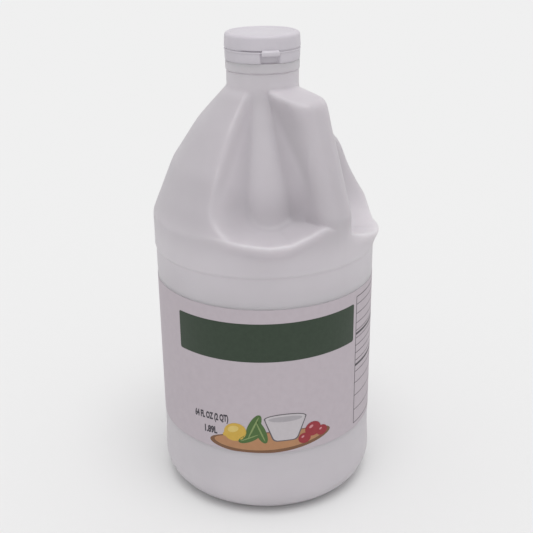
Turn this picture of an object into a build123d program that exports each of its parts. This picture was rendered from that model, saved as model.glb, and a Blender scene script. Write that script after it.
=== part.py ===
from build123d import *
import os
from math import cos, radians, sin, tan

# A two-litre round plastic vinegar bottle, shut, with a paper label wound right round its body
# and a small snap-open cap. The frame stands on the middle of the base with +Z up, and the front
# of the label looks along -Y. Angles are counted round +Z from the front towards +X.
# All sizes are in millimetres.

# The bottle's overall sizes.
body_radius = 60.5
total_height = 255.3

# Foot, heel and the sunken panel that the label lies in.
push_up_height = 4.0
push_up_radius = 34.0
foot_inner_radius = 38.0
heel_radius = 14.5
panel_depth = 0.6
panel_bottom = 25.0
panel_top = 142.5
panel_step = 1.2

# Label sleeve.
label_thickness = 0.15
label_bottom = 41.1
label_top = 125.6

# Shoulder: a steep cone, then two that are each flatter than the last, then the neck.
shoulder_height = 161.5
break_inset = 11.6
break_height = 189.5
upper_break_inset = 25.5
upper_break_height = 210.5
neck_foot_height = 228.0
shoulder_round = 6.0
break_round = 30.0
upper_break_round = 30.0
neck_foot_round = 2.5

# Neck, a little slimmer than the cap, with a low bead under it.
neck_inset = 0.85
bead_reach = 0.4
bead_height = 4.6
bead_groove_depth = 0.5
bead_groove_height = 0.8

# Grip: an upright bar on the shoulder between two hollows for thumb and fingers.
grip_angle = 41.0
bar_width = 21.0
bar_round = 6.5
knuckle_reach = 40.0
knuckle_height = 224.0
knuckle_round = 8.0
bar_foot_height = 169.0
bar_foot_depth = 12.0
bar_root_height = 228.0

front_hollow_angle = 65.0
rear_hollow_angle = 69.0
hollow_round = 7.0
hollow_floor_top_height = 227.0
ledge_depth = 23.5
ledge_slope = 11.0
front_ledge_height = 168.0
rear_ledge_height = 159.0

# Lip that swells out of the body under each hollow's ledge.
lip_angle = 38.0
lip_reach = 3.0
lip_half_angle = 31.0
lip_height = 7.5
lip_flank_height = 6.0
lip_round = 1.4

# Cap, in two pieces: a base ring and the lid snapped down on it.
cap_height = 13.9
cap_base_height = 5.9
cap_radius = 19.75
cap_base_taper = 0.4
cap_rim_height = 0.8
cap_rim_depth = 0.25
lid_taper = 0.4
lid_edge_round = 1.6
lid_groove = 0.35
lid_rim_width = 2.95
lid_dish_depth = 0.4

# Thumb tab on the lid, the hollow under it and the slit beside it.
tab_angle = 12.0
tab_width = 9.2
tab_reach = 1.8
tab_thickness = 3.2
tab_rise = 1.1
tab_round = 1.2
tab_root = 1.7
notch_clearance = 0.8
notch_depth = 2.2
slit_from_angle = -33.0
slit_to_angle = 0.0
slit_height = 0.7
slit_depth = 0.8

# Values that follow from those above.
panel_radius = body_radius - panel_depth
label_radius = panel_radius + label_thickness
break_radius = body_radius - break_inset
upper_break_radius = body_radius - upper_break_inset
neck_radius = cap_radius - neck_inset
bead_radius = neck_radius + bead_reach
cap_base_low_radius = cap_radius - cap_base_taper
lid_top_radius = cap_radius - lid_taper
lid_dish_radius = cap_radius - lid_rim_width
cap_bottom = total_height - cap_height
cap_seam = cap_bottom + cap_base_height
bead_bottom = cap_bottom - bead_height


def corner(face, r, z):
    """The vertex of a flat outline that lies nearest to (r, z)."""
    return face.vertices().sort_by_distance((r, z, 0))[0]


def lathe(face, angle=360.0):
    """Turn an outline of (radius, height) points about the bottle's axis."""
    return revolve(Plane.XZ * face, Axis.Z, angle)


def turned(solid, angle):
    """Move a solid modelled at the front to the stated angle round the bottle."""
    return Rot(0, 0, angle) * solid


def ledge_place(side, height):
    """The place of the sloping ledge's plane: it falls away from the bar on its own side."""
    return Pos(0, -body_radius, height) * Rot(0, side * ledge_slope, 0)


def plain_bottle():
    """The round bottle before the grip is pressed into its shoulder."""
    outline = make_face(
        Polyline(
            (0, push_up_height),
            (push_up_radius, push_up_height),
            (foot_inner_radius, 0),
            (body_radius, 0),
            (body_radius, panel_bottom - panel_step),
            (panel_radius, panel_bottom),
            (panel_radius, panel_top),
            (body_radius, panel_top + panel_step),
            (body_radius, shoulder_height),
            (break_radius, break_height),
            (upper_break_radius, upper_break_height),
            (neck_radius, neck_foot_height),
            (neck_radius, bead_bottom - bead_groove_height),
            (neck_radius - bead_groove_depth, bead_bottom - bead_groove_height),
            (neck_radius - bead_groove_depth, bead_bottom),
            (bead_radius, bead_bottom),
            (bead_radius, cap_bottom),
            (0, cap_bottom),
            close=True,
        )
    )
    rounds = [
        (body_radius, 0, heel_radius),
        (body_radius, shoulder_height, shoulder_round),
        (break_radius, break_height, break_round),
        (upper_break_radius, upper_break_height, upper_break_round),
        (neck_radius, neck_foot_height, neck_foot_round),
    ]
    for r, z, radius in rounds:
        outline = fillet(corner(outline, r, z), radius)
    return lathe(outline)


def grip_hollow(side, ledge_height, half_angle):
    """What is pressed out of the shoulder on one side of the bar, seen from the bar's plane.

    side is -1 for the hollow on the label's side of the bar and +1 for the other. Its floor is a
    steep cone round the neck, its end is a wall along a radius and below it is a sloping ledge.
    """
    far = body_radius * 1.5
    # The floor meets the height of the shoulder's corner ledge_depth in from the body's side.
    floor_run = body_radius - ledge_depth - neck_radius
    slope = floor_run / (hollow_floor_top_height - shoulder_height)
    low = ledge_height - far / 2
    outline = make_face(
        Polyline(
            (neck_radius, hollow_floor_top_height),
            (neck_radius + slope * (hollow_floor_top_height - low), low),
            (far, low),
            (far, hollow_floor_top_height),
            close=True,
        )
    )
    sector = lathe(outline, half_angle)
    # The turned sector starts at +X; bring one of its ends to the bar's plane at the front.
    sector = Rot(0, 0, -90 if side > 0 else -90 - half_angle) * sector
    above = ledge_place(side, ledge_height) * Pos(0, 0, far) * Box(4 * far, 4 * far, 2 * far)
    hollow = (sector & above).solid()
    end_angle = radians(side * half_angle)
    end_middle = Vector(far / 2 * sin(end_angle), -far / 2 * cos(end_angle), shoulder_height)
    inner = hollow.faces().filter_by(GeomType.CONE)[0]
    ledge_face = hollow.faces().sort_by(Axis.Z)[0]
    end_face = hollow.faces().filter_by(GeomType.PLANE).sort_by_distance(end_middle)[0]
    edges = ShapeList()
    for one, other in ((inner, ledge_face), (inner, end_face), (ledge_face, end_face)):
        shared = [e for e in one.edges() for f in other.edges() if (e.center() - f.center()).length < 1e-4]
        edges += shared[:1]
    return fillet(edges, hollow_round)


def lip(side, ledge_height):
    """The swelling under a ledge: a disc set off towards the ledge, so that it fades at its ends.

    The disc's radius and offset are those of the circle that stands lip_reach proud of the body in
    the middle and meets the body's own circle lip_half_angle to either side.
    """
    crest = body_radius + lip_reach
    across = body_radius * cos(radians(lip_half_angle))
    offset = (crest**2 - body_radius**2) / (2 * (crest - across))
    radius = crest - offset
    # The disc's own frame has the ledge's plane at zero height.
    band_height = lip_height - lip_flank_height
    top = (Align.CENTER, Align.CENTER, Align.MAX)
    band = Cylinder(radius, band_height, align=top)
    flank = Pos(0, 0, -band_height) * Cone(radius - lip_reach, radius, lip_flank_height, align=top)
    disc = band + flank
    disc = fillet(disc.edges().sort_by(Axis.Z)[-1], lip_round)
    sideways = offset * sin(radians(lip_angle))
    height = ledge_height - sideways * tan(radians(ledge_slope))
    place = Pos(side * sideways, -offset * cos(radians(lip_angle)), height) * Rot(0, side * ledge_slope, 0)
    return place * disc


def grip_bar():
    """The upright bar between the hollows, rounded like a handle along its outer edges."""
    outline = make_face(
        Polyline(
            (neck_radius / 2, bar_root_height),
            (neck_radius, bar_root_height),
            (knuckle_reach, knuckle_height),
            (body_radius, bar_foot_height),
            (body_radius, bar_foot_height - bar_foot_depth),
            (neck_radius / 2, bar_foot_height - bar_foot_depth),
            close=True,
        )
    )
    outline = fillet(corner(outline, knuckle_reach, knuckle_height), knuckle_round)
    # The outline's plane holds the axis and the front: its first direction is -Y.
    plane = Plane(origin=(0, 0, 0), x_dir=(0, -1, 0), z_dir=(-1, 0, 0))
    bar = extrude(plane * outline, bar_width / 2, both=True)
    side_edges = [e for e in bar.edges() if abs(abs(e.center().X) - bar_width / 2) < 1e-3]
    outer_edges = [e for e in side_edges if e.center().Y < -neck_radius and e.center().Z > bar_foot_height]
    bar = fillet(ShapeList(outer_edges), bar_round)
    return bar & Cylinder(body_radius, 2 * total_height)


def bottle():
    """The whole filled bottle, one closed solid."""
    body = plain_bottle()
    hollows = ((-1, front_ledge_height, front_hollow_angle), (1, rear_ledge_height, rear_hollow_angle))
    for side, height, half_angle in hollows:
        body = body + turned(lip(side, height), grip_angle)
    for side, height, half_angle in hollows:
        body = body - turned(grip_hollow(side, height, half_angle), grip_angle)
    return body + turned(grip_bar(), grip_angle)


def label():
    """The thin sleeve of paper round the panel."""
    height = label_top - label_bottom
    sleeve = Cylinder(label_radius, height) - Cylinder(panel_radius, height)
    return Pos(0, 0, label_bottom + height / 2) * sleeve


def block(width, inner, outer, bottom, top):
    """A block across the cap's front, between two distances from the axis and two heights."""
    place = Pos(0, -(inner + outer) / 2, (bottom + top) / 2)
    return place * Box(width, outer - inner, top - bottom)


def cap_base():
    """The ring that holds the cap on the neck."""
    rim_bottom = cap_seam - cap_rim_height
    outline = make_face(
        Polyline(
            (0, cap_bottom),
            (cap_base_low_radius, cap_bottom),
            (cap_radius - cap_rim_depth, rim_bottom),
            (cap_radius, rim_bottom + cap_rim_depth),
            (cap_radius, cap_seam),
            (0, cap_seam),
            close=True,
        )
    )
    notch_width = tab_width + 2 * notch_clearance
    notch = block(notch_width, cap_radius - notch_depth, cap_radius + tab_reach, cap_bottom, cap_seam)
    return lathe(outline) - turned(notch, tab_angle)


def cap_lid():
    """The shut lid with its thumb tab and the slit beside it."""
    outline = make_face(
        Polyline(
            (0, cap_seam),
            (cap_radius - lid_groove, cap_seam),
            (cap_radius - lid_groove, cap_seam + lid_groove),
            (cap_radius, cap_seam + 2 * lid_groove),
            (lid_top_radius, total_height),
            (lid_dish_radius, total_height),
            (lid_dish_radius - lid_dish_depth, total_height - lid_dish_depth),
            (0, total_height - lid_dish_depth),
            close=True,
        )
    )
    outline = fillet(corner(outline, lid_top_radius, total_height), lid_edge_round)
    slit_outline = make_face(
        Polyline(
            (cap_radius - slit_depth, cap_seam),
            (cap_radius + slit_depth, cap_seam),
            (cap_radius + slit_depth, cap_seam + slit_height),
            (cap_radius - slit_depth, cap_seam + slit_height),
            close=True,
        )
    )
    slit = turned(lathe(slit_outline, slit_to_angle - slit_from_angle), slit_from_angle - 90)
    tab_top = cap_seam + tab_rise
    tab = block(tab_width, cap_radius - tab_root, cap_radius + tab_reach, tab_top - tab_thickness, tab_top)
    tab = fillet(tab.edges().filter_by(Axis.Z).sort_by(Axis.Y)[:2], tab_round)
    return lathe(outline) - slit + turned(tab, tab_angle)


nodes = {
    "bottle": bottle,
    "label": label,
    "cap_base": cap_base,
    "cap_lid": cap_lid,
}

os.makedirs("parts", exist_ok=True)
for name, make in nodes.items():
    export_step(make(), "parts/" + name + ".step")
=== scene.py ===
# %% [markdown]
# # A milky plastic vinegar bottle
# The measured model of the bottle comes in as four fixed pieces: the bottle, its paper label, and
# the base ring and lid of its cap. Everything made here is in metres in that same frame, with +Z
# up and the label's front looking along -Y. Angles are counted from the front towards +X.

from math import cos, pi, radians, sin

import bmesh
import bpy
import numpy as np
from mathutils import Matrix, Vector


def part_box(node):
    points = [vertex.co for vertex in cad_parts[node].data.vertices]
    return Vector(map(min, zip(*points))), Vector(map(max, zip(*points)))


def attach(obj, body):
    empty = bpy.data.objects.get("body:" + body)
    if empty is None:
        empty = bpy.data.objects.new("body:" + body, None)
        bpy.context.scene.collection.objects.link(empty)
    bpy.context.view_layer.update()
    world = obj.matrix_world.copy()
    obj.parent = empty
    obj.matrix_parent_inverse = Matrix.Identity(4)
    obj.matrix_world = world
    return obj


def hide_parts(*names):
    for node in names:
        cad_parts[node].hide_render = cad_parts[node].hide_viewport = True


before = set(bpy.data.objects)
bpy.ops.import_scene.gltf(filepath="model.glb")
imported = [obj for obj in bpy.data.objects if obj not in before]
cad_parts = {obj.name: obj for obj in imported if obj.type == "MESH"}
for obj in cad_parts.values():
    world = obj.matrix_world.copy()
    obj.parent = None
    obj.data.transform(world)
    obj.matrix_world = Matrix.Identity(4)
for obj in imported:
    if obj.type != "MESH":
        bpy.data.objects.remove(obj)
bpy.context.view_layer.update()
mm = 0.001


# %% [markdown]
# ## Outlines
# Nearly every part of a blow-moulded bottle starts as an outline turned about its axis. An
# outline is written as a few corners, each with the radius it is rounded by. The helper swaps
# each corner for a short arc, which is how a moulder's drawing is read, and is easier to check
# than a long list of points.

# %% Round the corners of an outline
def rounded(corners, arc_points=9):
    """Corners of (radius, height, rounding) in millimetres, as points with the arcs put in."""
    points = []
    for number, (r, z, rounding) in enumerate(corners):
        here = np.array((r, z), float)
        if not rounding:
            points.append(here)
            continue
        before = np.array(corners[number - 1][:2], float) - here
        after = np.array(corners[number + 1][:2], float) - here
        before /= np.linalg.norm(before)
        after /= np.linalg.norm(after)
        half_turn = np.arccos(np.clip(before @ after, -1, 1)) / 2
        to_tangent = rounding / np.tan(half_turn)
        bisector = (before + after) / np.linalg.norm(before + after)
        middle = here + bisector * rounding / np.sin(half_turn)
        first = here + before * to_tangent - middle
        last = here + after * to_tangent - middle
        for step in np.linspace(0, 1, arc_points):
            swing = (1 - step) * first + step * last
            points.append(middle + swing / np.linalg.norm(swing) * rounding)
    return np.array(points)


def spaced(points, count):
    """The same line as count points, evenly spaced along it."""
    run = np.concatenate(([0], np.cumsum(np.linalg.norm(np.diff(points, axis=0), axis=1))))
    wanted = np.linspace(0, run[-1], count)
    return np.stack([np.interp(wanted, run, points[:, axis]) for axis in (0, 1)], -1)


# %% [markdown]
# ## The bottle's plain outline
# The foot has a shallow push-up so that the bottle stands on a ring. Above the round heel, the
# wall steps in a little for the label and out again above it. The lower step is blown soft, so
# it hardly shows. Then come the shoulder, steep below and flatter above, and the neck.

# %% Sizes of the bottle in millimetres
body_radius = 60.5
panel_radius = 59.9
neck_radius = 18.9
neck_groove = 0.5
bead_radius = 19.3
shoulder_start = 146.0
neck_foot = 229.0
cap_bottom = 241.4
bead_bottom = 236.8

foot_line = rounded([
    (0, 4, 0), (34, 4, 3), (38, 0.02, 1.2), (body_radius, 0, 14.5), (body_radius, 17, 20),
    (panel_radius, 29, 20), (panel_radius, 36, 0), (panel_radius, 60, 0), (panel_radius, 100, 0),
    (panel_radius, 141.2, 0), (panel_radius, 142.4, 0.8), (body_radius, 143.8, 0.8),
    (body_radius, shoulder_start, 0),
])
dome_line = rounded([
    (body_radius, shoulder_start, 0), (body_radius, 161.5, 6), (48.9, 189.5, 30),
    (35.0, 210.5, 30), (neck_radius, 228, 2.5), (neck_radius, 232, 0),
], 25)
neck_line = rounded([
    (neck_radius, neck_foot, 0), (neck_radius, 232, 0), (neck_radius, 235.4, 0),
    (neck_radius, 235.9, 0.15), (neck_radius - neck_groove, 236.1, 0.1),
    (neck_radius - neck_groove, bead_bottom - 0.1, 0.1), (bead_radius, bead_bottom, 0.3),
    (bead_radius, cap_bottom, 0.3), (0, cap_bottom, 0),
], 4)
print("outline points", len(foot_line), len(dome_line), len(neck_line))


# %% [markdown]
# ## The grip
# A heavy bottle is lifted by a bar in its shoulder, with a hollow on each side for thumb and
# fingers. Each hollow has a steep floor round the neck, a sloping ledge below with a swollen
# lip, and a soft wall at its far end. It could be cut with booleans, but a blown wall has no
# sharp corners. Here each upright section of the shoulder is worked out by itself, from the
# outside of whichever form stands furthest out, and the sections are then smoothed together.

# %% Sizes of the grip
grip_angle = 41.0
bar_half_width = 10.5
bar_round = 8.0
front_hollow_angle = 63.5
rear_hollow_angle = 69.0
wall_spread = 16.0
floor_radius = 37.0
floor_bottom, floor_top = 161.5, 227.0
front_corner_round = 14.0
rear_corner_round = 30.0
lip_reach = 2.4
lip_middle = 38.0
lip_half_angle = 34.0
lip_fade = 32.0
lip_flank_low = 8.0
lip_flank_high = 1.2
# A hollow's far wall is turned from millimetres into degrees at this distance from the axis.
wall_distance = 50
# The section is sampled finely above this height, where it bends into the neck.
neck_bend = 222
coarse_step, fine_step = 0.1, 0.02

bar_line = rounded([
    (body_radius, 140, 0), (body_radius, 169, 6), (41.0, 224.6, 6), (neck_radius, 228.4, 0),
    (neck_radius, 232, 0),
], 25)
# The ledge's height against the angle from the front: highest just in front of the bar's middle,
# and lower to both sides.
ledge_angles = (-40, -24, -9, 3, 12, 17, 23, 27, 31, 35, 42, 50, 59, 80, 100, 120)
ledge_heights = (163, 163, 161.5, 160.2, 161, 162.7, 164.4, 165.8, 166.5, 164.9, 161.2, 158.5,
                 155.5, 151.3, 150.5, 152)


# %% One upright section of the shoulder
def smoothstep(value):
    """0 below 0 and 1 above 1, with a soft step between."""
    value = np.clip(value, 0, 1)
    return value * value * (3 - 2 * value)


def bar_reach(height, angle):
    """How far out the grip bar reaches at a height, along a ray at an angle from its middle."""
    out = np.interp(height, bar_line[:, 1], bar_line[:, 0])
    along, across = cos(radians(angle)), abs(sin(radians(angle)))
    if along <= 0:
        return np.zeros_like(out)
    front = out / along
    side = np.full_like(out, bar_half_width / max(across, 1e-6))
    centre_out, centre_side = out - bar_round, bar_half_width - bar_round
    towards = centre_out * along + centre_side * across
    inside = towards**2 - centre_out**2 - centre_side**2 + bar_round**2
    corner = towards + np.sqrt(np.maximum(inside, 0))
    reach = np.where(front * across <= centre_side, front, corner)
    return np.where(side * along <= centre_out, side, reach)


def section(angle):
    """Radius and height down one upright section of the shoulder, from the body to the neck."""
    from_bar = angle - grip_angle
    rear = from_bar > 0
    half_angle = rear_hollow_angle if rear else front_hollow_angle
    corner_round = rear_corner_round if rear else front_corner_round
    ledge = np.interp(angle, ledge_angles, ledge_heights)
    lip = lip_reach * smoothstep((lip_half_angle - abs(abs(from_bar) - lip_middle)) / lip_fade)
    low = np.arange(shoulder_start, ledge, coarse_step)
    flank = smoothstep((low - ledge + lip_flank_low) / (lip_flank_low - lip_flank_high))
    plain = np.interp(low, dome_line[:, 1], dome_line[:, 0])
    hidden = smoothstep((half_angle + wall_spread - abs(from_bar)) / wall_spread)
    body = plain + (body_radius - plain) * hidden
    low_radius = np.maximum(body + lip * flank, bar_reach(low, from_bar))
    high = np.concatenate((np.arange(ledge, neck_bend, coarse_step),
                           np.arange(neck_bend, neck_foot, fine_step)))
    rise = np.clip((corner_round - (high - ledge)) / corner_round, 0, 1)
    rounding = np.degrees(corner_round * (1 - np.sqrt(1 - rise**2)) / wall_distance)
    wall = smoothstep((abs(from_bar) + rounding - half_angle) / wall_spread + 0.5)
    floor = neck_radius + ((floor_radius - neck_radius) * (floor_top - high)
                           / (floor_top - floor_bottom))
    floor = np.maximum(np.maximum(floor, neck_radius), bar_reach(high, from_bar))
    dome = np.interp(high, dome_line[:, 1], dome_line[:, 0])
    high_radius = floor + (np.maximum(dome, neck_radius) - floor) * wall
    radii = np.concatenate((low_radius, high_radius))
    return np.stack((radii, np.concatenate((low, high))), -1)


# %% [markdown]
# ## Turn and press the bottle
# The mesh starts as a bare ladder of points that Spin turns into a tube, so that all its faces
# are tidy four-sided ones and the seam closes. Its columns are drawn closer together at the
# grip, where the detail is. Each column is then set to its section, and the shoulder is smoothed.

# %% Spin a ladder into a tube and read off its rows and columns
columns = 400
shoulder_rows = 125
crowd_half_angle, crowd_fade, crowd_gain = 82, 10, 1.4


def turned_tube(name, rows, steps):
    """A spun tube with one ring of points for each row; the ring's height is its number."""
    form = bmesh.new()
    ladder = [form.verts.new((0, -1, row)) for row in range(rows)]
    rungs = [form.edges.new(pair) for pair in zip(ladder, ladder[1:])]
    bmesh.ops.spin(form, geom=ladder + rungs, cent=(0, 0, 0), axis=(0, 0, 1), dvec=(0, 0, 0),
                   angle=2 * pi, steps=steps, use_merge=True, use_duplicate=False)
    bmesh.ops.remove_doubles(form, verts=form.verts, dist=1e-5)
    print(name, "tube of", len(form.verts), "points and", len(form.faces), "faces")
    return form


def crowd_to_grip(share):
    """The angle of a column, from its share of the way round; columns crowd by the grip."""
    angles = np.linspace(-180, 180, 3601)
    weight = 1 + crowd_gain * smoothstep((crowd_half_angle - abs(angles - grip_angle)) / crowd_fade)
    run = np.concatenate(([0], np.cumsum((weight[1:] + weight[:-1]) / 2)))
    return np.interp(share % 1, run / run[-1], angles)


# %% Set every column to its section
sharp_angle = radians(50)


def finish_piece(name, form, node, close_poles=True):
    """Close, orient and register a finished mesh, which may stand for a measured node."""
    if close_poles:
        bmesh.ops.remove_doubles(form, verts=form.verts, dist=1e-7)
    bmesh.ops.recalc_face_normals(form, faces=form.faces)
    for edge in form.edges:
        edge.smooth = edge.calc_face_angle(0) < sharp_angle
    mesh = bpy.data.meshes.new(name)
    form.to_mesh(mesh)
    form.free()
    mesh.polygons.foreach_set("use_smooth", [True] * len(mesh.polygons))
    piece = bpy.data.objects.new(name, mesh)
    bpy.context.collection.objects.link(piece)
    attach(piece, "root")
    if node:
        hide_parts(node)
    print(name, "has", len(mesh.vertices), "points and", len(mesh.polygons), "faces")
    return piece


rows_before = len(foot_line) - 1
rows = rows_before + shoulder_rows + len(neck_line) - 1
tube = turned_tube("bottle", rows, columns)
angle_list = np.array([crowd_to_grip(np.float64(k) / columns) for k in range(columns)])
grid = np.zeros((rows, columns, 2))
grid[:rows_before] = foot_line[:-1, None]
grid[rows_before + shoulder_rows:] = neck_line[1:, None]
for k, angle in enumerate(angle_list):
    grid[rows_before:rows_before + shoulder_rows, k] = spaced(section(angle), shoulder_rows)
print("widest", round(grid[..., 0].max(), 2), "mm from the axis")
for vert in tube.verts:
    row = round(vert.co.z)
    k = round(np.arctan2(vert.co.x, -vert.co.y) / (2 * pi) * columns) % columns
    r, z = grid[row, k] * mm
    angle = radians(angle_list[k])
    vert.co = (r * sin(angle), -r * cos(angle), z)


# %% Smooth the shoulder
light_passes, grip_passes = 4, 30
grip_low, grip_high, grip_reach = 155, 216, 46


def smooth(form, passes, wanted):
    """Ease the points that wanted() picks towards their neighbours."""
    picked = [vert for vert in form.verts if wanted(vert.co / mm)]
    for _ in range(passes):
        bmesh.ops.smooth_vert(form, verts=picked, factor=0.5,
                              use_axis_x=True, use_axis_y=True, use_axis_z=True)
    print("eased", len(picked), "points", passes, "times")


smooth(tube, light_passes, lambda p: shoulder_start + 1 < p.z < neck_foot - 0.5)
smooth(tube, grip_passes, lambda p: grip_low < p.z < grip_high and p.xy.length < grip_reach)
bottle = finish_piece("milky_bottle", tube, "bottle")


# %% [markdown]
# ## The cap
# The closure is two moulded parts: a base ring that stays on the neck, and a lid that snaps down
# on it. The ring has a hollow for the thumb, and the lid a small tab over it with a slit beside
# it. Both parts are turned from outlines, and the hollow and the slit are then pressed in by
# moving points, so that every edge keeps the small radius that moulded plastic has. The tab is
# a bevelled block that is sliced upright, so that it can follow the round of the lid.

# %% Sizes of the cap in millimetres
cap_columns = 300
cap_top = 255.3
cap_seam = 247.3
cap_radius = 19.75
tab_angle = 12.0
tab_half_width = 4.5
tab_low, tab_high = 245.3, 248.4
tab_reach = 1.6
tab_root = 1.2
tab_bevel = 0.75
tab_slice = 0.7
tab_droop = 0.5
hollow_half_angle, hollow_fade, hollow_depth = 16.5, 4, 1.7
hollow_top, hollow_top_fade = 246.6, 0.6
slit_start, slit_end, slit_fade, slit_depth = -34, 1, 2, 0.7
slit_top, slit_top_fade = 248.15, 0.3

base_line = rounded([
    (0, cap_bottom, 0), (19.3, cap_bottom, 0.35), (19.45, 242.6, 0), (19.5, 243.6, 0),
    (19.5, 244.6, 0), (19.5, 245.6, 0), (19.5, 246.3, 0.2), (cap_radius, 246.7, 0.2),
    (cap_radius, cap_seam, 0.3), (18.4, cap_seam, 0), (0, cap_seam, 0),
], 4)
lid_line = rounded([
    (0, cap_seam, 0), (18.2, cap_seam, 0), (19.4, cap_seam + 0.05, 0.15), (19.4, 247.7, 0.15),
    (cap_radius, 248.1, 0.3), (19.66, 250, 0), (19.55, 252, 0), (19.35, cap_top, 1.8),
    (16.9, cap_top, 0.3), (16.6, 255.0, 0.3), (0, 254.9, 0),
], 6)


# %% Turn both parts and press in the hollow and the slit
def turned_part(name, outline, press):
    """Set a spun tube to an outline in millimetres, pressed in by press(degrees, height)."""
    form = turned_tube(name, len(outline), cap_columns)
    for vert in form.verts:
        turn = np.arctan2(vert.co.x, -vert.co.y)
        r, z = outline[round(vert.co.z)]
        if r > 1:
            r -= press(np.degrees(turn), z)
        vert.co = (r * mm * sin(turn), -r * mm * cos(turn), z * mm)
    return form


def thumb_hollow(turn, z):
    """How deep the ring's hollow is at an angle in degrees and a height."""
    if z >= cap_seam:
        return 0.0
    sides = smoothstep((hollow_half_angle - abs(turn - tab_angle)) / hollow_fade)
    return hollow_depth * sides * smoothstep((hollow_top - z) / hollow_top_fade)


def slit(turn, z):
    """How deep the lid's slit is at an angle in degrees and a height."""
    if z <= cap_seam:
        return 0.0
    ends = smoothstep((turn - slit_start) / slit_fade) * smoothstep((slit_end - turn) / slit_fade)
    return slit_depth * ends * smoothstep((slit_top - z) / slit_top_fade)


ring_form = turned_part("ring", base_line, thumb_hollow)
cap_base = finish_piece("cap_ring", ring_form, "cap_base")
lid_form = turned_part("lid", lid_line, slit)
cap_lid = finish_piece("snap_lid", lid_form, "cap_lid")

# %% Bevel the thumb tab and bend it to the lid
tab = bmesh.new()
tab_outer = cap_radius + tab_reach
tab_middle = ((cap_radius - tab_root + tab_outer) / 2, (tab_low + tab_high) / 2)
tab_depth = tab_outer - cap_radius + tab_root
shape = Matrix.Diagonal((2 * tab_half_width, tab_depth, tab_high - tab_low, 1))
bmesh.ops.create_cube(tab, size=1, matrix=shape)
bmesh.ops.bevel(tab, geom=tab.edges[:], offset=tab_bevel, affect="EDGES", segments=4,
                profile=0.5, material=-1)
for cut in np.arange(-5 * tab_slice, 5.2 * tab_slice, tab_slice):
    bmesh.ops.bisect_plane(tab, geom=[*tab.verts, *tab.edges, *tab.faces],
                           plane_co=(cut, 0, 0), plane_no=(1, 0, 0))
for vert in tab.verts:
    droop = tab_droop * smoothstep((vert.co.y + 0.4) / 1.6) * smoothstep((vert.co.z + 0.2) / 1.4)
    turn = radians(tab_angle) + vert.co.x / cap_radius
    r = (tab_middle[0] + vert.co.y) * mm
    vert.co = (r * sin(turn), -r * cos(turn), (tab_middle[1] + vert.co.z - droop) * mm)
tab_piece = finish_piece("thumb_tab", tab, None)


# %% [markdown]
# ## The label sleeve
# The label is a strip of coated paper wrapped round the panel, and its end is glued over its
# start at the back. Spin carries a single upright edge a little further than once round. The
# steps also climb, which tells the start from the overlap, and then each column is set to its
# own distance from the axis so that the glued end lies on top by a paper's thickness.

# %% Wrap the paper
def face_out(form):
    """Turn all faces of an open sheet away from the bottle's axis."""
    bmesh.ops.recalc_face_normals(form, faces=form.faces)
    outward = sum(face.normal.dot(face.calc_center_median().xy.to_3d()) for face in form.faces)
    if outward < 0:
        bmesh.ops.reverse_faces(form, faces=form.faces)


label_low, label_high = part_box("label")
paper_radius = (label_high.x - label_low.x) / 2
paper_thickness = 0.1 * mm
overlap_angle = 8
strip_steps = 368
strip_height = 100
end_lift_angle, end_lift_spread = 355, 5
strip = bmesh.new()
upright = [strip.verts.new((0, 1, height)) for height in (0, strip_height)]
fold = strip.edges.new(upright)
bmesh.ops.spin(strip, geom=[*upright, fold], cent=(0, 0, 0), axis=(0, 0, 1), dvec=(0, 0, 0.1),
               angle=radians(360 + overlap_angle), steps=strip_steps, use_merge=False,
               use_duplicate=False)
climb_all = max(vert.co.z for vert in strip.verts) - strip_height
for vert in strip.verts:
    top = vert.co.z > strip_height - 1
    climbed = vert.co.z - (strip_height if top else 0)
    turned = climbed / climb_all * (360 + overlap_angle)
    angle = radians(turned + 180)
    r = paper_radius + paper_thickness * smoothstep((turned - end_lift_angle) / end_lift_spread)
    vert.co = (r * sin(angle), -r * cos(angle), label_high.z if top else label_low.z)
face_out(strip)
bmesh.ops.solidify(strip, geom=strip.faces, thickness=paper_thickness)
label = finish_piece("paper_label", strip, "label", close_poles=False)
label_radii = [Vector(v.co.xy).length for v in label.data.vertices]
print("paper from", round(min(label_radii), 5), "to", round(max(label_radii), 5), "m from the axis")


# %% [markdown]
# ## Print on the label
# Ink is a film with no thickness to speak of. Painting it inside the paper's material would need
# a long chain of masks, so each printed field is cut as a flat outline, sliced upright so that
# it can bend, and laid round the label a few hundredths of a millimetre above the paper. Flat
# places are (distance round the label from its front, height), in millimetres.

# %% Lay a flat outline round the label
slice_width = 2.0
ink_step = 0.03 * mm
print_slope = 0.012
edge_margin = 0.2 * mm


def lay_print(name, form, layer):
    """Slice a flat form in the X-Y plane and wrap it round the label as one printed field."""
    xs = [vert.co.x for vert in form.verts]
    for cut in np.arange(min(xs) + slice_width / 2, max(xs), slice_width):
        bmesh.ops.bisect_plane(form, geom=[*form.verts, *form.edges, *form.faces],
                               plane_co=(cut, 0, 0), plane_no=(1, 0, 0))
    bmesh.ops.triangulate(form, faces=[face for face in form.faces if len(face.verts) > 4])
    r = paper_radius + ink_step * layer
    for vert in form.verts:
        angle = vert.co.x * mm / paper_radius
        height = (vert.co.y + vert.co.x * print_slope) * mm
        height = min(max(height, label_low.z + edge_margin), label_high.z - edge_margin)
        vert.co = (r * sin(angle), -r * cos(angle), height)
    face_out(form)
    mesh = bpy.data.meshes.new(name)
    form.to_mesh(mesh)
    form.free()
    piece = bpy.data.objects.new(name, mesh)
    bpy.context.collection.objects.link(piece)
    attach(piece, "root")
    print(name, "is printed with", len(mesh.polygons), "faces")
    return piece


def patch(form, corners):
    """Add one flat field with the stated corners and roundings."""
    outline = rounded([corners[-1][:2] + (0,), *corners, corners[0][:2] + (0,)], 6)[1:-1]
    form.faces.new([form.verts.new((x, y, 0)) for x, y in outline])


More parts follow.
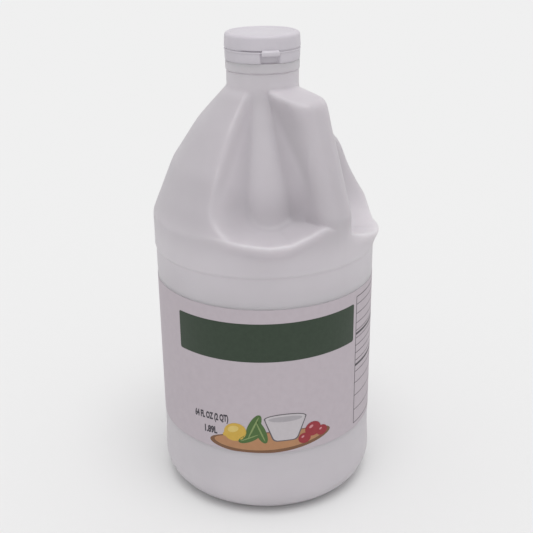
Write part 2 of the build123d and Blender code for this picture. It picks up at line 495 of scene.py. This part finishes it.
def disc(form, x, y, half_wide, half_high, lean=0):
    """Add a filled ellipse."""
    place = Matrix.Translation((x, y, 0)) @ Matrix.Rotation(radians(lean), 4, "Z")
    place = place @ Matrix.Diagonal((half_wide, half_high, 1, 1))
    bmesh.ops.create_circle(form, cap_ends=True, segments=48, radius=1, matrix=place)


def field(name, layer, *shapes):
    """One printed colour: patches are lists of corners and discs are tuples of numbers."""
    form = bmesh.new()
    for shape in shapes:
        if isinstance(shape, list):
            patch(form, shape)
        else:
            disc(form, *shape)
    return lay_print(name, form, layer)


# %% [markdown]
# ## The fields of colour
# A wide dark green band runs across the front with nothing on it. Low on the front is a small
# kitchen picture of a generic kind: a wooden tray with a lemon, leaves, a bowl and radishes.
# Every shape is a plain field, and darker fields under lighter ones give them their edges.

# %% Band, tray and things on the tray
def soft_box(left, low, right, high, rounding):
    """The corners of an upright box, all rounded alike."""
    return [(left, low, rounding), (right, low, rounding),
            (right, high, rounding), (left, high, rounding)]


prints = {
    "band": field("green_band", 1, soft_box(-51.6, 96.1, 53.8, 117.9, 1.2)),
    "tray_rim": field("tray_rim", 1, (2, 47.8, 34.5, 6.6, 3)),
    "tray": field("tray_inside", 2, (2, 48.5, 31.7, 5.3, 3)),
    "lemon": field("lemon", 3, (-17.4, 53.4, 6.4, 5.4, 20), (-22.9, 51.3, 1.6, 1.2, 20)),
    "lemon_light": field("lemon_light", 4, (-18.4, 55.2, 3.2, 1.9, 20)),
    "leaf": field("leaves", 3, (-7.2, 57, 8.4, 3.1, 66), (-3.4, 54.5, 7.6, 2.8, 112),
                  (-9.5, 50.5, 6.6, 2.4, 25)),
    "leaf_light": field("leaf_ribs", 4, (-7.2, 57, 7.2, 0.45, 66), (-3.4, 54.5, 6.4, 0.4, 112),
                        (-9.5, 50.5, 5.4, 0.35, 25)),
    "outline": field("bowl_edge", 3,
                     [(-1.6, 62, 0.5), (3.4, 48.2, 3), (16.6, 48.2, 3), (21.6, 62, 0.5)],
                     (10, 62, 11.6, 2.9)),
    "bowl": field("bowl", 4,
                  [(-0.9, 61.6, 0.5), (4, 48.8, 3), (16, 48.8, 3), (20.9, 61.6, 0.5)],
                  (10, 62, 10.9, 2.4)),
    "bowl_shade": field("bowl_inside", 5, (10, 61.7, 9.2, 1.6)),
    "radish": field("radishes", 5, (25.6, 52.8, 4.7, 4.4), (31, 50.4, 3.4, 3.1),
                    (20.6, 48.2, 3.6, 3.2)),
    "radish_light": field("radish_lights", 6, (24.4, 54.4, 1.3, 0.8, 30),
                          (30.2, 51.5, 0.9, 0.6, 30), (19.6, 49.2, 0.9, 0.6, 30)),
}

# %% Table box on the side of the label
rule_heights = (116.5, 111, 105.5, 101, 96.5, 92, 87.5, 83, 76, 69, 61, 52)
rule_left, rule_right, rule_low, rule_high = 56.4, 104.0, 43.5, 121.0
thin, bold, border = 0.2, 0.7, 0.25
rules = [soft_box(rule_left, y - thin, rule_right, y + thin, 0) for y in rule_heights]
rules += [soft_box(rule_left, y - bold, rule_right, y + bold, 0) for y in (99, 80)]
rules += [soft_box(x - border, rule_low, x + border, rule_high, 0)
          for x in (rule_left, rule_right)]
rules += [soft_box(rule_left, y - border, rule_right, y + border, 0)
          for y in (rule_low, rule_high)]


def plain_field(name, layer, boxes):
    """One printed colour of square-cornered boxes."""
    form = bmesh.new()
    for box in boxes:
        form.faces.new([form.verts.new((x, y, 0)) for x, y, _ in box])
    return lay_print(name, form, layer)


prints["rules"] = plain_field("table_rules", 1, rules)


# %% [markdown]
# ## The printed volume
# The only words kept are the plain statement of the volume. Blender's built-in font is set as a
# text curve, thickened and narrowed, and turned into a mesh before it is bent, because a live
# text object would be moved by its own place and not by its points.

# %% Set a line of lettering
lettering_slope = 0.045


def lettering(name, words, left, baseline, width, height):
    """A line of text fitted to a width and height and laid round the label."""
    curve = bpy.data.curves.new(name, "FONT")
    curve.body = words
    curve.size = 10
    curve.offset = 0.5
    curve.resolution_u = 3
    holder = bpy.data.objects.new(name, curve)
    bpy.context.collection.objects.link(holder)
    bpy.context.view_layer.update()
    mesh = bpy.data.meshes.new_from_object(holder)
    bpy.data.objects.remove(holder)
    form = bmesh.new()
    form.from_mesh(mesh)
    bpy.data.meshes.remove(mesh)
    xs, ys = ([vert.co[axis] for vert in form.verts] for axis in (0, 1))
    low = min(ys)
    for vert in form.verts:
        x = (vert.co.x - min(xs)) / (max(xs) - min(xs)) * width
        y = (vert.co.y - low) / (max(ys) - low) * height
        vert.co = (left + x, baseline + y + x * lettering_slope, 0)
    bmesh.ops.remove_doubles(form, verts=form.verts, dist=1e-4)
    return lay_print(name, form, 1)


prints["letters"] = lettering("volume_words", "64 FL OZ (2 QT)", -42.2, 56.6, 21.2, 5.8)
prints["letters_small"] = lettering("volume_metric", "1.89L", -35.8, 49.6, 8.0, 4.6)


# %% [markdown]
# ## Materials
# The bottle is blown from a milky plastic: soft, waxy and a little translucent, so its material
# has some subsurface scattering under a satin gloss. Paper and the moulded cap are more opaque.
# A small helper starts each material and links its nodes, so that each finish reads as a recipe.
# The plastic's colour changes with height and depth and carries painted light and shade: it is
# painted lighter in the band above the label, in the shade under the shoulder, and in the shaded
# hollow at the front, and painted darker on the shoulder, which takes the most light from above.
# At the neck it turns lighter again.

# %% Helpers for materials
def linear(red, green, blue):
    """A colour written as 0-255 screen values, as the linear values that shaders use."""
    def channel(value):
        value /= 255
        return value / 12.92 if value <= 0.04045 else ((value + 0.055) / 1.055) ** 2.4
    return (channel(red), channel(green), channel(blue), 1.0)


class Recipe:
    """A material with one Principled shader and short ways to add and link nodes."""

    def __init__(self, name, roughness, **sockets):
        self.material = bpy.data.materials.new(name)
        self.material.use_nodes = True
        self.tree = self.material.node_tree
        self.tree.nodes.clear()
        output = self.tree.nodes.new("ShaderNodeOutputMaterial")
        self.shader = self.tree.nodes.new("ShaderNodeBsdfPrincipled")
        self.tree.links.new(self.shader.outputs[0], output.inputs["Surface"])
        self.shader.inputs["Roughness"].default_value = roughness
        for socket, value in sockets.items():
            self.shader.inputs[socket.replace("_", " ")].default_value = value
        self.place = self.node("ShaderNodeTexCoord").outputs["Object"]

    def node(self, kind, **settings):
        made = self.tree.nodes.new(kind)
        for key, value in settings.items():
            setattr(made, key, value)
        return made

    def put(self, source, target):
        if hasattr(source, "is_output"):
            self.tree.links.new(source, target)
        else:
            target.default_value = source

    def math(self, operation, first, second=0.0):
        made = self.node("ShaderNodeMath", operation=operation)
        self.put(first, made.inputs[0])
        self.put(second, made.inputs[1])
        return made.outputs[0]

    def ramp(self, value, low, high):
        """0 below low and 1 above high, with a soft step between."""
        made = self.node("ShaderNodeMapRange", interpolation_type="SMOOTHSTEP")
        self.put(value, made.inputs["Value"])
        made.inputs["From Min"].default_value = low
        made.inputs["From Max"].default_value = high
        return made.outputs[0]

    def noise(self, scale):
        made = self.node("ShaderNodeTexNoise")
        made.inputs["Scale"].default_value = scale
        made.inputs["Detail"].default_value = 3.0
        self.put(self.place, made.inputs["Vector"])
        return made.outputs["Fac"]

    def spread(self, factor, low, high):
        """Stretch the middle of a noise from low to high."""
        made = self.node("ShaderNodeMapRange")
        self.put(factor, made.inputs["Value"])
        made.inputs["From Min"].default_value = 0.3
        made.inputs["From Max"].default_value = 0.7
        made.inputs["To Min"].default_value = low
        made.inputs["To Max"].default_value = high
        return made.outputs[0]

    def blend(self, factor, first, second):
        made = self.node("ShaderNodeMix", data_type="RGBA")
        self.put(factor, made.inputs["Factor"])
        self.put(first, made.inputs[6])
        self.put(second, made.inputs[7])
        return made.outputs[2]

    def bump(self, height, distance, strength=0.5):
        made = self.node("ShaderNodeBump")
        made.inputs["Strength"].default_value = strength
        made.inputs["Distance"].default_value = distance
        self.put(height, made.inputs["Height"])
        self.put(made.outputs[0], self.shader.inputs["Normal"])

    def colour(self, source):
        self.put(source, self.shader.inputs["Base Color"])

    def roughness(self, source):
        self.put(source, self.shader.inputs["Roughness"])


# %% The milky plastic, the cap's plastic and the paper
label_top_low, label_top_high = 130, 143
shoulder_shade_low, shoulder_shade_high = 148, 170
neck_tone_low, neck_tone_high = 222, 230
pressed_low, pressed_high = 166, 186
pressed_edge_x, pressed_full_x = 26, 16
pressed_shallow, pressed_deep = 3, 10
cone_start, cone_slope = 182.35, 0.7
tone_step = 5
# Besides the plastic's own colour, these tones carry painted light and shade: lighter above the label and in the
# front hollow, darker on the shoulder. The neck is lighter again.
shades = {"full": 209, "rim": 214, "thin": 196, "pressed": 210, "neck_tone": 214}

milky = Recipe("milky plastic", 0.38, Subsurface_Weight=0.8, Subsurface_Scale=0.014,
               Subsurface_Radius=(1.0, 0.95, 0.95))
split = milky.node("ShaderNodeSeparateXYZ")
milky.put(milky.place, split.inputs[0])
x, y, z = (split.outputs[axis] for axis in "XYZ")
squares = milky.math("ADD", milky.math("MULTIPLY", x, x), milky.math("MULTIPLY", y, y))
from_axis = milky.math("SQRT", squares)
cone = milky.math("SUBTRACT", cone_start * mm, milky.math("MULTIPLY", z, cone_slope))
depth = milky.math("SUBTRACT", milky.math("MINIMUM", cone, body_radius * mm), from_axis)
# Painted light: the front hollow is painted lighter to lift the shade that falls in it. This mask finds the
# hollow by its depth, height and side.
pressed = milky.math(
    "MULTIPLY", milky.ramp(depth, pressed_shallow * mm, pressed_deep * mm),
    milky.math("MULTIPLY", milky.ramp(z, pressed_low * mm, pressed_high * mm),
               milky.ramp(x, pressed_edge_x * mm, pressed_full_x * mm)))
mottle = milky.spread(milky.noise(30), 0, 1)
tones = {}
for part, tone in shades.items():
    darker, darkest = tone - tone_step, tone - 2 * tone_step
    tones[part] = milky.blend(mottle, linear(tone, darker, tone), linear(darker, darkest, darker))
# Painted light: the band above the label, shaded by the shoulder's overhang, is painted lighter.
painted_light_above_label = milky.ramp(z, label_top_low * mm, label_top_high * mm)
shell = milky.blend(painted_light_above_label, tones["full"], tones["rim"])
# Painted shade: the shoulder, which takes the most light from above, is painted darker.
shell = milky.blend(milky.ramp(z, shoulder_shade_low * mm, shoulder_shade_high * mm), shell, tones["thin"])
# Painted light in the front hollow.
shell = milky.blend(pressed, shell, tones["pressed"])
# The colour turns lighter again at the neck.
shell = milky.blend(milky.ramp(z, neck_tone_low * mm, neck_tone_high * mm), shell, tones["neck_tone"])
milky.colour(shell)
milky.roughness(milky.spread(milky.noise(180), 0.34, 0.44))
milky.bump(milky.noise(90), 0.0003, 0.25)

capping = Recipe("cap plastic", 0.42, Subsurface_Weight=0.2, Subsurface_Scale=0.004,
                 Subsurface_Radius=(1.0, 0.95, 0.95))
capping.colour(capping.blend(capping.spread(capping.noise(120), 0, 1),
                             linear(211, 206, 213), linear(206, 201, 208)))
capping.bump(capping.noise(600), 0.0001, 0.3)

paper = Recipe("coated paper", 0.5)
paper.colour(paper.blend(paper.spread(paper.noise(300), 0, 1),
                         linear(196, 186, 193), linear(192, 182, 189)))
paper.bump(paper.noise(900), 0.00005, 0.3)

finished = ((bottle, milky), (label, paper),
            (cap_base, capping), (cap_lid, capping), (tab_piece, capping))
for piece, recipe in finished:
    piece.data.materials.append(recipe.material)
    print(piece.name, "is finished in", recipe.material.name)


# %% [markdown]
# ## Inks
# Each ink is the same recipe with its own colour: a thin, slightly uneven film that dries to the
# same sheen as the paper's coating.

# %% Mix the inks
inks = {
    "band": (42, 58, 42), "tray_rim": (120, 84, 58), "tray": (178, 130, 92),
    "lemon": (205, 168, 70), "lemon_light": (216, 190, 110), "leaf": (74, 104, 52), "leaf_light": (132, 152, 96),
    "outline": (96, 92, 96), "bowl": (196, 190, 194), "bowl_shade": (170, 165, 170),
    "radish": (150, 42, 52), "radish_light": (205, 140, 145), "rules": (70, 64, 70),
    "letters": (62, 58, 66), "letters_small": (62, 58, 66),
}
for use, colour in inks.items():
    ink = Recipe("ink " + use.replace("_", " "), 0.45)
    paler = tuple(min(255, value + tone_step) for value in colour)
    ink.colour(ink.blend(ink.spread(ink.noise(400), 0, 1), linear(*colour), linear(*paler)))
    ink.bump(ink.noise(900), 0.00005, 0.2)
    prints[use].data.materials.append(ink.material)
print(len(inks), "inks")


# %% [markdown]
# ## Floor, light and camera
# A wide pale floor carries the bottle's soft shadow. One broad sun high above gives the light of
# a large softbox without falling off over the floor, and a white sky fills the shadows. Floor
# and sky look paler to the camera than they are to the light, so the backdrop stays even.

# %% Floor and sky
floor_half = 8.0
floor_bounce = 0.66
sky_strength = 0.76
bpy.ops.mesh.primitive_plane_add(size=2 * floor_half, location=(0, 0, 0))
floor = bpy.context.object
floor.name = "floor"
stage_colour = Recipe("pale floor", 0.9, Specular_IOR_Level=0.0)
lights = stage_colour.node("ShaderNodeLightPath")
bounce_colour = (floor_bounce, floor_bounce, floor_bounce, 1)
stage_colour.colour(stage_colour.blend(lights.outputs["Is Camera Ray"], bounce_colour,
                                       linear(233, 233, 233)))
floor.data.materials.append(stage_colour.material)

world = bpy.data.worlds.new("studio")
bpy.context.scene.world = world
world.use_nodes = True
sky = world.node_tree
sky.nodes.clear()
sky_light = sky.nodes.new("ShaderNodeBackground")
sky_light.inputs["Color"].default_value = (1, 1, 1, 1)
sky_light.inputs["Strength"].default_value = sky_strength
sky_seen = sky.nodes.new("ShaderNodeBackground")
sky_seen.inputs["Color"].default_value = linear(238, 238, 238)
sky_path = sky.nodes.new("ShaderNodeLightPath")
sky_mix = sky.nodes.new("ShaderNodeMixShader")
sky_out = sky.nodes.new("ShaderNodeOutputWorld")
sky.links.new(sky_path.outputs["Is Camera Ray"], sky_mix.inputs[0])
sky.links.new(sky_light.outputs[0], sky_mix.inputs[1])
sky.links.new(sky_seen.outputs[0], sky_mix.inputs[2])
sky.links.new(sky_mix.outputs[0], sky_out.inputs["Surface"])


# %% Lamp and camera
def broad_sun(name, strength, towards_front, towards_right, spread):
    """A soft sun leaning from straight up by two angles in degrees."""
    data = bpy.data.lights.new(name, "SUN")
    data.energy = strength
    data.angle = radians(spread)
    lamp = bpy.data.objects.new(name, data)
    lamp.rotation_euler = (radians(towards_front), radians(towards_right), 0)
    bpy.context.collection.objects.link(lamp)


broad_sun("top light", 1.0, 14, 4, 40)

camera_place = (0, -0.48254, 0.32199)
camera_look_down = 22.19
camera_roll = -0.0122
camera_data = bpy.data.cameras.new("camera")
camera_data.sensor_width = 36.0
camera_data.lens = 62.44
camera_data.shift_x = 0.0029
camera = bpy.data.objects.new("camera", camera_data)
camera.matrix_world = (
    Matrix.Translation(camera_place)
    @ Matrix.Rotation(radians(90 - camera_look_down), 4, "X")
    @ Matrix.Rotation(camera_roll, 4, "Z")
)
bpy.context.collection.objects.link(camera)
bpy.context.scene.camera = camera
bpy.context.scene.view_settings.view_transform = "Standard"
print("camera at", [round(v, 3) for v in camera.matrix_world.translation])
